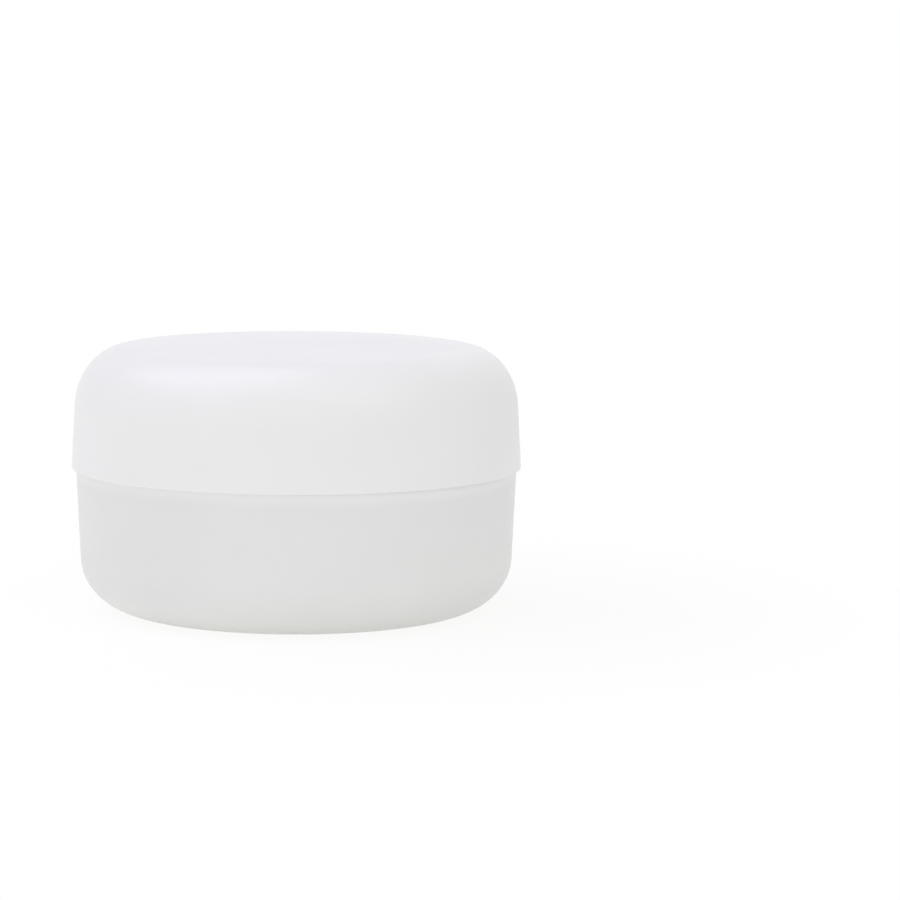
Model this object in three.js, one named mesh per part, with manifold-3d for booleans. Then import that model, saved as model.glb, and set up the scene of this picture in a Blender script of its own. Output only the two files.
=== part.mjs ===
// Round double-wall jar of soaked pads: outer shell, threaded inner cup, screw lid, foam liner,
// lift-out sealing disc and a stack of soft pads. Millimetres, +Z up, origin in the middle of the foot.
import * as THREE from "three";
import { mergeVertices } from "three/addons/utils/BufferGeometryUtils.js";
import Module from "manifold-3d";

const wasm = await Module();
wasm.setup();

// Pads, from which the inside of the jar is worked out
const PAD_COUNT = 45;
const PAD_RADIUS = 23.4;
const STACK_HEIGHT = 23.4;
const PAD_GAP = 0.05;
const PAD_CLEARANCE = 0.8;
const HEADSPACE = 4.8;

// Inner cup
const CUP_WALL = 1.2;
const CUP_FLOOR = 1.2;
const CUP_CORNER = 3;
const CUP_FLANGE = 1.3;
const CUP_SEAT_GAP = 0.3;
const NECK_LEAD_IN = 2.6;
const NECK_PLAIN = 6.9;
const NECK_EDGE = 0.3;
const NECK_FILLET = 0.8;

// Snap fit between cup and shell
const SNAP_CLEARANCE = 0.2;
const SNAP_WALL = 1.1;
const SNAP_LENGTH = 5;
const SNAP_BEAD = 0.35;
const SNAP_BEAD_HEIGHT = 1.2;
const LUG_COUNT = 6;
const LUG_WIDTH = 5;
const LUG_HEIGHT = 2.6;
const LUG_DEPTH = 0.6;
const LUG_CLEARANCE = 0.15;
const LUG_SINK = 0.4;

// Thread between neck and lid
const THREAD_STARTS = 3;
const THREAD_PITCH = 4;
const THREAD_SWEEP = 150;
const THREAD_RUN_OUT = 14;
const THREAD_DEPTH = 0.9;
const THREAD_CLEARANCE = 0.35;
const FLANK_CLEARANCE = 0.25;
const THREAD_EMBED = 0.4;

// Lid
const LID_WALL = 1.4;
const LID_TOP_WALL = 1.66;
const LID_CORNER_WIDTH = 7.7;
const LID_CORNER_HEIGHT = 9.5;
const LID_CROWN = 0.76;
const LID_DRAFT = 0.5;
const LID_OVERHANG = 0.7;
const LID_RIM_ROUND = 0.4;
const SEAM_GAP = 0.1;
const INNER_SKIRT_WALL = 1.2;
const INNER_SKIRT_MARGIN = 0.8;
const SKIRT_GAP = 4.75;

// Foam liner
const LINER_THICKNESS = 0.9;
const LINER_CLEARANCE = 0.2;
const LINER_GAP = 0.1;
const LINER_BEAD = 0.35;
const LINER_BEAD_HEIGHT = 0.7;

// Sealing disc
const DISC_WALL = 0.8;
const DISC_DEPTH = 4.65;
const DISC_CLEARANCE = 0.25;
const DISC_DRAFT = 0.4;
const DISC_OVERHANG = 0.3;
const SEAL_GAP = 0.15;
const TAB_LENGTH = 18;
const TAB_THICKNESS = 1.3;
const TAB_CLEARANCE = 0.6;

// Outer shell
const SHELL_WALL = 1.3;
const SHELL_FLOOR = 1.3;
const SHELL_DRAFT = 0.6;
const SHELL_CORNER_WIDTH = 9;
const SHELL_CORNER_HEIGHT = 8.2;
const SHELL_EDGE = 0.3;
const FOOT_RECESS = 0.6;
const FOOT_WIDTH = 6;

// Fineness of round surfaces
const ROUND_STEPS = 48;
const PAD_STEPS = 24;
const CORNER_STEPS = 8;
const CROWN_STEPS = 3;
const FULL_TURN = 360;
const THREAD_STEP = 7.5;

// Radii, from the pads outwards
const cupBore = PAD_RADIUS + PAD_CLEARANCE;
const neckRadius = cupBore + CUP_WALL;
const lidBore = neckRadius + THREAD_DEPTH + THREAD_CLEARANCE;
const innerSkirtRadius = lidBore + INNER_SKIRT_WALL;
const rimRadius = innerSkirtRadius + SKIRT_GAP + LID_WALL;
const bodyRadius = rimRadius - LID_OVERHANG;
const footRadius = bodyRadius - SHELL_DRAFT - SHELL_CORNER_WIDTH;
const snapRadius = bodyRadius - SHELL_WALL - SNAP_CLEARANCE;

// Heights, from the foot upwards
const shellFloor = FOOT_RECESS + SHELL_FLOOR;
const cupBottom = shellFloor + CUP_SEAT_GAP;
const cupFloor = cupBottom + CUP_FLOOR;
const padPitch = STACK_HEIGHT / PAD_COUNT;
const padThickness = padPitch - PAD_GAP;
const stackTop = cupFloor + STACK_HEIGHT;
const discBottom = stackTop + HEADSPACE;
const discTop = discBottom + DISC_WALL + DISC_DEPTH;
const neckRim = discTop - DISC_WALL - SEAL_GAP;
const linerBottom = discTop + SEAL_GAP;
const lidCeiling = linerBottom + LINER_THICKNESS + LINER_GAP;

// Thread form, shared by neck and lid
const threadLead = THREAD_STARTS * THREAD_PITCH;
const threadRise = (threadLead * THREAD_SWEEP) / FULL_TURN;
const threadBase = THREAD_PITCH / 2;
const threadCrest = THREAD_PITCH / 4;
const neckThreadStart = neckRim - NECK_LEAD_IN - threadRise;
const lidThreadStart = neckThreadStart - (threadBase + threadCrest) / 2 - FLANK_CLEARANCE;
const shoulder = neckThreadStart - NECK_PLAIN;
const lidRim = shoulder + SEAM_GAP;
const innerSkirtEnd = lidThreadStart - threadBase / 2 - INNER_SKIRT_MARGIN;

const plastic = new THREE.MeshStandardMaterial({ color: "#eef0f2", roughness: 0.42, metalness: 0 });
const cupPlastic = new THREE.MeshStandardMaterial({ color: "#f0f1f0", roughness: 0.38, metalness: 0 });
const discPlastic = new THREE.MeshStandardMaterial({ color: "#e9ecec", roughness: 0.35, metalness: 0 });
const foam = new THREE.MeshStandardMaterial({ color: "#f4f4f2", roughness: 0.85, metalness: 0 });
const fleece = new THREE.MeshStandardMaterial({ color: "#f3f1ec", roughness: 0.9, metalness: 0 });

function at(radius, height) {
  return new THREE.Vector2(radius, height);
}

// Points of an elliptical corner, its angle measured in quarter turns from the outward direction
function corner(centre, halfWidth, halfHeight, from, to, steps = CORNER_STEPS) {
  return Array.from({ length: steps + 1 }, (_, i) => {
    const angle = (from + ((to - from) * i) / steps) * (Math.PI / 2);
    return at(centre.x + halfWidth * Math.cos(angle), centre.y + halfHeight * Math.sin(angle));
  });
}

// A solid turned about the Z axis from a profile of radius and height
function turned(profile, steps = ROUND_STEPS) {
  return new THREE.LatheGeometry(profile, steps).rotateX(Math.PI / 2);
}

function solid(geometry) {
  const plain = new THREE.BufferGeometry();
  plain.setAttribute("position", geometry.getAttribute("position"));
  plain.setIndex(geometry.getIndex());
  const welded = mergeVertices(plain, 1e-4);
  const index = welded.getIndex().array;
  const corners = [];
  for (let i = 0; i < index.length; i += 3) {
    const [a, b, c] = [index[i], index[i + 1], index[i + 2]];
    if (a !== b && b !== c && c !== a) corners.push(a, b, c);
  }
  const vertProperties = new Float32Array(welded.getAttribute("position").array);
  const triVerts = new Uint32Array(corners);
  return new wasm.Manifold(new wasm.Mesh({ numProp: 3, vertProperties, triVerts }));
}

function geometryOf(body) {
  const mesh = body.getMesh();
  const geometry = new THREE.BufferGeometry();
  geometry.setAttribute("position", new THREE.Float32BufferAttribute(mesh.vertProperties, 3));
  geometry.setIndex(Array.from(mesh.triVerts));
  return geometry.toNonIndexed();
}

function piece(name, geometry, material) {
  const mesh = new THREE.Mesh(geometry, material);
  mesh.geometry.computeVertexNormals();
  mesh.name = name;
  return mesh;
}

// A closed solid through equal rings of points, capped at both ends
function swept(rings, inward) {
  const size = rings[0].length;
  const last = size * (rings.length - 1);
  const faces = [];
  const triangle = (a, b, c) => faces.push(...(inward ? [a, b, c] : [a, c, b]));
  for (let from = 0; from < last; from += size) {
    for (let j = 0; j < size; j += 1) {
      const k = (j + 1) % size;
      triangle(from + j, from + k, from + size + k);
      triangle(from + j, from + size + k, from + size + j);
    }
  }
  for (let j = 1; j < size - 1; j += 1) {
    triangle(0, j + 1, j);
    triangle(last, last + j, last + j + 1);
  }
  const geometry = new THREE.BufferGeometry();
  geometry.setAttribute("position", new THREE.Float32BufferAttribute(rings.flat(2), 3));
  geometry.setIndex(faces);
  return solid(geometry);
}

// One helical thread ridge on a round wall. side is 1 for a ridge standing outwards and -1 for one
// standing inwards. The ends sink into the wall over the run-out.
function threadRidge(wallRadius, side, startAngle, startHeight) {
  const count = Math.max(6, Math.round(THREAD_SWEEP / THREAD_STEP));
  const root = wallRadius - side * THREAD_EMBED;
  const rings = Array.from({ length: count + 1 }, (_, i) => {
    const turn = (THREAD_SWEEP * i) / count;
    const share = Math.min(1, Math.min(turn, THREAD_SWEEP - turn) / THREAD_RUN_OUT);
    const crest = wallRadius + side * THREE.MathUtils.lerp(-THREAD_EMBED / 2, THREAD_DEPTH, share);
    const angle = THREE.MathUtils.degToRad(startAngle + turn);
    const height = startHeight + (threadLead * turn) / FULL_TURN;
    const place = (radius, rise) => [radius * Math.cos(angle), radius * Math.sin(angle), height + rise];
    return [
      place(root, -threadBase / 2),
      place(crest, -threadCrest / 2),
      place(crest, threadCrest / 2),
      place(root, threadBase / 2),
    ];
  });
  return swept(rings, side < 0);
}

// The ridges of every start, begun between the flats of the round wall
function withThread(body, wallRadius, side, startHeight) {
  let threaded = body;
  for (let i = 0; i < THREAD_STARTS; i += 1) {
    const startAngle = THREAD_STEP / 3 + (FULL_TURN * i) / THREAD_STARTS;
    threaded = threaded.add(threadRidge(wallRadius, side, startAngle, startHeight));
  }
  return threaded;
}

// Blocks spread round the snap skirt, grown by a clearance where they are cut as notches
function lugBlocks(grow, top) {
  const inner = snapRadius - SNAP_WALL / 2;
  const outer = snapRadius + LUG_DEPTH + grow;
  const height = LUG_HEIGHT + grow + top;
  return Array.from({ length: LUG_COUNT }, (_, i) => {
    const block = new THREE.BoxGeometry(outer - inner, LUG_WIDTH + 2 * grow, height);
    block.translate((inner + outer) / 2, 0, shoulder + top - height / 2);
    block.rotateZ((2 * Math.PI * i) / LUG_COUNT);
    return solid(block);
  });
}

function shellRadius(height) {
  const share = (height - SHELL_CORNER_HEIGHT) / (shoulder - SHELL_CORNER_HEIGHT);
  return bodyRadius - SHELL_DRAFT * (1 - share);
}

function outerShell() {
  const inside = (height) => shellRadius(height) - SHELL_WALL;
  const groove = shoulder - SNAP_LENGTH + SNAP_BEAD_HEIGHT;
  const recessRadius = footRadius - FOOT_WIDTH;
  const profile = [
    at(0, FOOT_RECESS),
    at(recessRadius - FOOT_RECESS, FOOT_RECESS),
    at(recessRadius, 0),
    ...corner(at(footRadius, SHELL_CORNER_HEIGHT), SHELL_CORNER_WIDTH, SHELL_CORNER_HEIGHT, -1, 0),
    at(shellRadius(shoulder - SHELL_EDGE), shoulder - SHELL_EDGE),
    at(bodyRadius - SHELL_EDGE, shoulder),
    at(inside(shoulder), shoulder),
    at(inside(groove + SNAP_BEAD_HEIGHT), groove + SNAP_BEAD_HEIGHT),
    at(inside(groove) + SNAP_BEAD, groove),
    at(inside(groove - SNAP_BEAD_HEIGHT), groove - SNAP_BEAD_HEIGHT),
    ...corner(
      at(footRadius, SHELL_CORNER_HEIGHT),
      SHELL_CORNER_WIDTH - SHELL_WALL,
      SHELL_CORNER_HEIGHT - shellFloor,
      0,
      -1,
    ),
    at(0, shellFloor),
  ];
  let shell = solid(turned(profile));
  for (const notch of lugBlocks(LUG_CLEARANCE, 1)) {
    shell = shell.subtract(notch);
  }
  return geometryOf(shell);
}

function innerCup() {
  const snapEnd = shoulder - SNAP_LENGTH;
  const bead = snapEnd + SNAP_BEAD_HEIGHT;
  const skirtRadius = (height) => shellRadius(height) - SHELL_WALL - SNAP_CLEARANCE;
  const profile = [
    at(0, cupBottom),
    ...corner(at(neckRadius - CUP_CORNER, cupBottom + CUP_CORNER), CUP_CORNER, CUP_CORNER, -1, 0, 4),
    at(neckRadius, shoulder - CUP_FLANGE),
    at(skirtRadius(snapEnd) - SNAP_WALL, shoulder - CUP_FLANGE),
    at(skirtRadius(snapEnd) - SNAP_WALL, snapEnd),
    at(skirtRadius(snapEnd) - SNAP_WALL / 3, snapEnd),
    at(skirtRadius(bead) + SNAP_BEAD, bead),
    at(skirtRadius(bead + SNAP_BEAD_HEIGHT), bead + SNAP_BEAD_HEIGHT),
    at(skirtRadius(shoulder - SHELL_EDGE), shoulder - SHELL_EDGE),
    at(skirtRadius(shoulder) - SHELL_EDGE, shoulder),
    ...corner(at(neckRadius + NECK_FILLET, shoulder + NECK_FILLET), NECK_FILLET, NECK_FILLET, -1, -2, 3),
    at(neckRadius, neckRim - NECK_EDGE),
    at(neckRadius - NECK_EDGE, neckRim),
    at(cupBore + NECK_EDGE, neckRim),
    at(cupBore, neckRim - NECK_EDGE),
    ...corner(at(PAD_RADIUS, cupFloor + PAD_CLEARANCE), PAD_CLEARANCE, PAD_CLEARANCE, 0, -1, 3),
    at(0, cupFloor),
  ];
  let cup = withThread(solid(turned(profile)), neckRadius, 1, neckThreadStart);
  for (const lug of lugBlocks(0, -LUG_SINK)) {
    cup = cup.add(lug);
  }
  return geometryOf(cup);
}

function lidShell() {
  const sideTop = rimRadius - LID_DRAFT;
  const cornerRadius = sideTop - LID_CORNER_WIDTH;
  const overBore = Math.max(0, (lidBore - cornerRadius) / LID_CORNER_WIDTH);
  const drop = LID_CORNER_HEIGHT * (1 - Math.sqrt(1 - overBore * overBore));
  const topEdge = lidCeiling + LID_TOP_WALL + drop;
  const centre = at(cornerRadius, topEdge - LID_CORNER_HEIGHT);
  const hollowWidth = LID_CORNER_WIDTH - LID_WALL;
  const hollowFrom = Math.acos((innerSkirtRadius - cornerRadius) / hollowWidth) / (Math.PI / 2);
  const beadTop = linerBottom - LINER_GAP;
  const crown = Array.from({ length: CROWN_STEPS }, (_, i) => {
    const share = 1 - (i + 1) / CROWN_STEPS;
    return at(cornerRadius * share, topEdge + LID_CROWN * (1 - share * share));
  });
  const profile = [
    at(0, lidCeiling),
    at(lidBore, lidCeiling),
    at(lidBore, beadTop),
    at(lidBore - LINER_BEAD, beadTop - LINER_BEAD_HEIGHT / 2),
    at(lidBore, beadTop - LINER_BEAD_HEIGHT),
    at(lidBore, innerSkirtEnd),
    at(innerSkirtRadius, innerSkirtEnd),
    ...corner(centre, hollowWidth, LID_CORNER_HEIGHT - LID_WALL, hollowFrom, 0, 6),
    at(rimRadius - LID_WALL, lidRim),
    ...corner(at(rimRadius - LID_RIM_ROUND, lidRim + LID_RIM_ROUND), LID_RIM_ROUND, LID_RIM_ROUND, -1, 0, 3),
    ...corner(centre, LID_CORNER_WIDTH, LID_CORNER_HEIGHT, 0, 1, CORNER_STEPS + 2),
    ...crown,
  ];
  return geometryOf(withThread(solid(turned(profile)), lidBore, -1, lidThreadStart));
}

function lidLiner() {
  const radius = lidBore - LINER_CLEARANCE;
  const top = linerBottom + LINER_THICKNESS;
  return turned([at(0, linerBottom), at(radius, linerBottom), at(radius, top), at(0, top)]);
}

// A half-moon fin standing on the floor of the disc
function pullTab() {
  const height = DISC_DEPTH - TAB_CLEARANCE;
  const sunk = DISC_WALL / 2;
  const outline = new THREE.Shape();
  outline.moveTo(-TAB_LENGTH / 2, -sunk);
  outline.lineTo(TAB_LENGTH / 2, -sunk);
  outline.lineTo(TAB_LENGTH / 2, 0);
  for (let i = 1; i < 12; i += 1) {
    const angle = (Math.PI * i) / 12;
    outline.lineTo((TAB_LENGTH / 2) * Math.cos(angle), height * Math.pow(Math.sin(angle), 0.7));
  }
  outline.lineTo(-TAB_LENGTH / 2, 0);
  const fin = new THREE.ExtrudeGeometry(outline, { depth: TAB_THICKNESS, bevelEnabled: false });
  fin.translate(0, 0, -TAB_THICKNESS / 2);
  fin.rotateX(Math.PI / 2);
  fin.translate(0, 0, discBottom + DISC_WALL);
  return solid(fin);
}

function sealingDisc() {
  const plug = cupBore - DISC_CLEARANCE;
  const flange = neckRadius + DISC_OVERHANG;
  const profile = [
    at(0, discBottom),
    at(plug - DISC_DRAFT - DISC_WALL / 2, discBottom),
    at(plug - DISC_DRAFT, discBottom + DISC_WALL / 2),
    at(plug, discTop - DISC_WALL),
    at(flange, discTop - DISC_WALL),
    at(flange, discTop),
    at(plug - DISC_WALL, discTop),
    at(plug - DISC_DRAFT - DISC_WALL, discBottom + DISC_WALL),
    at(0, discBottom + DISC_WALL),
  ];
  return geometryOf(solid(turned(profile)).add(pullTab()));
}

// A stack of pads, each lying on the one below
function pads() {
  const profile = [at(0, 0), at(PAD_RADIUS, 0), at(PAD_RADIUS, padThickness), at(0, padThickness)];
  return Array.from({ length: PAD_COUNT }, (_, i) => {
    const name = `pad_${String(i + 1).padStart(2, "0")}`;
    const pad = turned(profile, PAD_STEPS);
    pad.translate(0, 0, cupFloor + PAD_GAP + i * padPitch);
    return piece(name, pad, fleece);
  });
}

const group = new THREE.Group();
group.name = "pad_jar";
group.add(piece("outer_shell", outerShell(), plastic));
group.add(piece("inner_cup", innerCup(), cupPlastic));
group.add(piece("lid_shell", lidShell(), plastic));
group.add(piece("lid_liner", lidLiner(), foam));
group.add(piece("sealing_disc", sealingDisc(), discPlastic));
group.add(...pads());

export default group;
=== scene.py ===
# %% [markdown]
# # A jar of soaked pads with a screw lid
#
# The object is a low round jar, moulded in white plastic, as wide as a palm. A domed lid screws down
# over a threaded neck and meets the body in one thin seam. Inside are a foam liner, a sealing disc with
# a pull tab, and a stack of thin round pads.
#
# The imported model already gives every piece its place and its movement. This lesson keeps that frame and
# puts a finer surface over each solid: almost everything here is turned, so one outline and one turn
# round the axis make a whole piece.

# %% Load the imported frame
import math

import bpy
import numpy as np
from mathutils import Matrix, Vector


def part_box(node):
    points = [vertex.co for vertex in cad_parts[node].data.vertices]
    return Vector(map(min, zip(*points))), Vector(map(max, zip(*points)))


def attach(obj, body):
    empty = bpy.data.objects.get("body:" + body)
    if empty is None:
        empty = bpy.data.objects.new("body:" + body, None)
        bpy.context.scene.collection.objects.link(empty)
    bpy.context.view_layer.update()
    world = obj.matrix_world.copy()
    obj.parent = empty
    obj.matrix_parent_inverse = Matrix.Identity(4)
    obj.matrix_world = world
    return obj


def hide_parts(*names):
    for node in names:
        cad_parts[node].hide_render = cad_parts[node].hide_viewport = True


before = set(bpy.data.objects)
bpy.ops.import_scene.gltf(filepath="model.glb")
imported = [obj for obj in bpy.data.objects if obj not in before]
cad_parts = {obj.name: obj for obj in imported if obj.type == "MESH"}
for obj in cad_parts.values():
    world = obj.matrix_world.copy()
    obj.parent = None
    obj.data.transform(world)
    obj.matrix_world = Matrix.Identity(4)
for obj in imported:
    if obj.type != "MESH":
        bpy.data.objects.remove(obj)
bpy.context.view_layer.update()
print("nodes:", len(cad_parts))

# %% [markdown]
# ## Sizes from the solids
#
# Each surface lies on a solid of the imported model, so its driving sizes are read from the solids' boxes:
# a round piece is as wide as its box and stands between the box's bottom and top. Typing every size again
# would work too, but then a surface would stay behind when its solid changes. Walls, gaps and roundings
# don't show in a box. They are named where their piece is made. All sizes are in millimetres.

# %% Sizes that several pieces share
MM = 0.001


def span(node):
    """Radius, bottom and top of a round solid in millimetres, to the thousandth."""
    low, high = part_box(node)
    return [round(size / MM, 3) for size in (high.x, low.z, high.z)]


PAD_COUNT = sum(name.startswith("pad_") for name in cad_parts)
PAD_RADIUS, FIRST_PAD, FIRST_PAD_TOP = span("pad_01")
LINER_RADIUS, LINER_BOTTOM, LINER_TOP = span("lid_liner")
SHOULDER = span("outer_shell")[2]
RIM_RADIUS = span("lid_shell")[0]
LID_OVERHANG = 0.7
BODY_RADIUS = RIM_RADIUS - LID_OVERHANG
print("body", round(2 * BODY_RADIUS, 1), "mm wide up to a shoulder at", SHOULDER, "mm")
print("pads", 2 * PAD_RADIUS, "mm wide, a stack of", PAD_COUNT)

# %% [markdown]
# ## Outlines with soft corners
#
# A moulded piece has no sharp edge: the steel of the mould is rounded, so each corner carries a small
# radius that catches light. A Bevel modifier could round a finished mesh, but it needs the right edges
# picked out. Here the rounding is part of the outline itself, so the turned surface is smooth from the
# start. A guard point on each side of a corner keeps the flat walls flat when they are shaded smooth.

# %% Outlines through rounded corners
GUARD = 0.15
GUARD_SHARE = 0.1
TANGENT_SHARE = 0.38
ALMOST_STRAIGHT = 0.9999


def rounded(corners, steps=7):
    """Outline through corners given as radius, height and rounding.

    The outline leaves the first side of a corner one tangent length away from it, meets the second side
    at the same distance, and follows a parabola between them: start, corner and end mixed in the shares
    (1-s)^2, 2s(1-s) and s^2. The tangent length is the rounding over the tangent of half the angle, and
    takes at most a set share of either side.
    """
    table = np.array(corners, dtype=float)
    spot = table[1:-1, :2]
    back = table[:-2, :2] - spot
    ahead = table[2:, :2] - spot
    back_length = np.linalg.norm(back, axis=1, keepdims=True)
    ahead_length = np.linalg.norm(ahead, axis=1, keepdims=True)
    back = back / back_length
    ahead = ahead / ahead_length
    cosine = np.clip((back * ahead).sum(axis=1, keepdims=True), -ALMOST_STRAIGHT, ALMOST_STRAIGHT)
    tangent = table[1:-1, 2:3] / np.tan(np.arccos(cosine) / 2)
    tangent = np.minimum(tangent, TANGENT_SHARE * np.minimum(back_length, ahead_length))
    first = spot + back * tangent
    last = spot + ahead * tangent
    s = np.linspace(0, 1, steps)[None, :, None]
    bend = (1 - s) ** 2 * first[:, None] + 2 * s * (1 - s) * spot[:, None] + s ** 2 * last[:, None]
    guard_in = first + back * np.minimum(GUARD, GUARD_SHARE * back_length)
    guard_out = last + ahead * np.minimum(GUARD, GUARD_SHARE * ahead_length)
    middle = np.concatenate([guard_in[:, None], bend, guard_out[:, None]], axis=1)
    return np.vstack([table[:1, :2], middle.reshape(-1, 2), table[-1:, :2]])


sample_outline = rounded([(0, 0, 0), (10, 0, 1), (10, 5, 1), (0, 5, 0)])
print("a box outline with two soft corners has", len(sample_outline), "points")

# %% Arcs, joins and finer steps
SAME_POINT = 1e-6
NEAR_WALL = 0.4


def oval(centre, half_size, start, stop, steps):
    """Part of an ellipse: centre plus half width times cosine, half height times sine, in degrees."""
    angle = np.radians(np.linspace(start, stop, steps))
    return np.column_stack([
        centre[0] + half_size[0] * np.cos(angle),
        centre[1] + half_size[1] * np.sin(angle),
    ])


def joined(*parts):
    """Outlines end to end, with points that repeat the one before left out."""
    line = np.vstack(parts)
    step = np.linalg.norm(np.diff(line, axis=0), axis=1)
    return line[np.concatenate([[True], step > SAME_POINT])]


def cut_finer(outline, step, radius, low, high):
    """Cut the sides that stand near one radius, between two heights, into equal short steps."""
    start = outline[:-1]
    run = outline[1:] - start
    middle = start + run / 2
    near = np.abs(middle[:, 0] - radius) < NEAR_WALL
    near &= (middle[:, 1] > low) & (middle[:, 1] < high)
    count = np.where(near, np.ceil(np.linalg.norm(run, axis=1) / step), 1).astype(int)
    side = np.repeat(np.arange(len(count)), count)
    place = np.arange(count.sum()) - np.repeat(np.cumsum(count) - count, count)
    points = start[side] + run[side] * (place / count[side])[:, None]
    return np.vstack([points, outline[-1:]])


fine_outline = cut_finer(sample_outline, 0.5, 10, 1, 4)
print("the same box with a finer side has", len(fine_outline), "points")

# %% [markdown]
# ## From outline to closed surface
#
# Every surface here is a grid of points: rows run along the outline and columns run round the axis. The
# first and last rows shrink to one point each, on the axis, so the surface is closed with no hole and no
# seam. Spin and Screw in Blender do the same job, but a grid of arrays can also be bent afterwards by a
# formula, and the threads, lugs and waves below need that.

# %% From outline to grid


def smooth(x):
    """Ease from 0 to 1: three x squared less two x cubed, held at 0 and 1 outside."""
    x = np.clip(x, 0, 1)
    return x * x * (3 - 2 * x)


def eased_step(x, edge, width):
    """0 below an edge and 1 above it, easing over a width that lies half on each side of the edge."""
    return smooth((x - edge) / width + 0.5)


def even_turn(columns):
    """Angles spread evenly round one turn."""
    return np.linspace(0, 2 * np.pi, columns, endpoint=False)


def turned(outline, angle):
    """Radius, angle and height of an outline carried round the axis, each as rows by columns."""
    radius, turn = np.meshgrid(outline[:, 0], angle, indexing="ij")
    height = np.repeat(outline[:, 1:], len(angle), axis=1)
    return radius, turn, height


def around(radius, turn, height):
    """Points at radius times cosine and sine of the angle, at their height."""
    return np.stack([radius * np.cos(turn), radius * np.sin(turn), height], axis=-1)


print("a grid of the sample box:", around(*turned(sample_outline, even_turn(8))).shape)

# %% From grid to piece


def closed_skin(name, points):
    """A mesh object from rows by columns of points in millimetres.

    Columns close round on themselves. The first and last rows become one point each, joined to the next
    row by a fan of triangles, and every other cell is a quad that faces outwards.
    """
    rows, columns = points.shape[:2]
    rings = points[1:-1].reshape(-1, 3)
    ends = points[[0, -1]].mean(axis=1)
    index = np.arange(len(rings)).reshape(rows - 2, columns)
    beside = np.roll(index, -1, axis=1)
    quads = np.stack([index[:-1], beside[:-1], beside[1:], index[1:]], axis=-1).reshape(-1, 4)
    first_end = np.full(columns, len(rings))
    low_fan = np.stack([first_end, beside[0], index[0]], axis=-1)
    high_fan = np.stack([first_end + 1, index[-1], beside[-1]], axis=-1)
    mesh = bpy.data.meshes.new(name)
    spots = np.vstack([rings, ends]) * MM
    mesh.from_pydata(spots.tolist(), [], quads.tolist() + low_fan.tolist() + high_fan.tolist())
    mesh.polygons.foreach_set("use_smooth", np.ones(len(mesh.polygons), dtype=bool))
    mesh.update()
    piece = bpy.data.objects.new(name, mesh)
    bpy.context.scene.collection.objects.link(piece)
    return piece


def dress(piece, finish, body, node):
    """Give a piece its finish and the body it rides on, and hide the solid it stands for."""
    piece.data.materials.append(finish)
    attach(piece, body)
    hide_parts(node)


print("surface helpers ready")

# %% [markdown]
# ## The shared finish of moulded plastic
#
# Polypropylene leaves a satin mould with a very fine grain, cloudy on a larger scale where the melt
# cooled at different speeds. One flat colour would look like paint. A node group makes three things from
# Object coordinates: a colour that drifts between two near whites, a roughness that drifts with it, and
# a grain height for a Bump node. Every moulded piece uses the same group with its own values.

# %% Node helpers
FLOAT, VECTOR, COLOUR = "NodeSocketFloat", "NodeSocketVector", "NodeSocketColor"


def feed(tree, socket, value):
    """Link an output to an input socket, or set the socket to a plain value."""
    if isinstance(value, bpy.types.NodeSocket):
        tree.links.new(value, socket)
    else:
        socket.default_value = value


def wire(tree, node, **inputs):
    """Feed a node's inputs by name, with underscores in place of spaces."""
    for name, value in inputs.items():
        feed(tree, node.inputs[name.replace("_", " ")], value)
    return node


def put(tree, kind, **inputs):
    """Add a node and feed its inputs."""
    return wire(tree, tree.nodes.new(kind), **inputs)


def calc(tree, operation, *values, kind="ShaderNodeMath"):
    """Add a Math or Vector Math node, feed its inputs in order and give it back."""
    node = tree.nodes.new(kind)
    node.operation = operation
    for socket, value in zip(node.inputs, values):
        feed(tree, socket, value)
    return node


def ranged(tree, value, start, stop, low=0.0, high=1.0, eased=False):
    """Carry a value from one range to another, evenly or with an ease at both ends."""
    node = put(
        tree, "ShaderNodeMapRange",
        Value=value, From_Min=start, From_Max=stop, To_Min=low, To_Max=high)
    node.interpolation_type = "SMOOTHSTEP" if eased else "LINEAR"
    return node.outputs[0]


print("node helpers ready")

# %% Helpers for colours and groups


def blend_colours(tree, factor, one, two):
    """Mix two colours by a factor. Each colour is an output or four plain numbers.

    The Mix node repeats its socket names for every type of data, so the colour ones are picked by number.
    """
    mix = tree.nodes.new("ShaderNodeMix")
    mix.data_type = "RGBA"
    feed(tree, mix.inputs[0], factor)
    feed(tree, mix.inputs[6], one)
    feed(tree, mix.inputs[7], two)
    return mix.outputs[2]


def new_group(name, inputs, outputs):
    """An empty shader node group with named sockets, the outputs of its inlet, and its outlet."""
    tree = bpy.data.node_groups.new(name, "ShaderNodeTree")
    for kind, label, start in inputs:
        socket = tree.interface.new_socket(label, in_out="INPUT", socket_type=kind)
        if start is not None:
            socket.default_value = start
    for kind, label in outputs:
        tree.interface.new_socket(label, in_out="OUTPUT", socket_type=kind)
    return tree, tree.nodes.new("NodeGroupInput").outputs, tree.nodes.new("NodeGroupOutput")


print("colours can be blended and groups made")

# %% Helpers for materials


def new_material(name):
    """A material, its node tree, its Principled shader and its Object coordinates."""
    material = bpy.data.materials.new(name)
    material.use_nodes = True
    tree = material.node_tree
    place = tree.nodes.new("ShaderNodeTexCoord").outputs["Object"]
    return material, tree, tree.nodes["Principled BSDF"], place


def use_group(tree, group, **inputs):
    """Place a node group in a material and feed its inputs."""
    node = tree.nodes.new("ShaderNodeGroup")
    node.node_tree = group
    return wire(tree, node, **inputs).outputs


def bumped(tree, height, strength, distance):
    """The normal that a Bump node makes from a height."""
    return put(tree, "ShaderNodeBump", Height=height, Strength=strength, Distance=distance).outputs[0]


print("material helpers ready")

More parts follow.
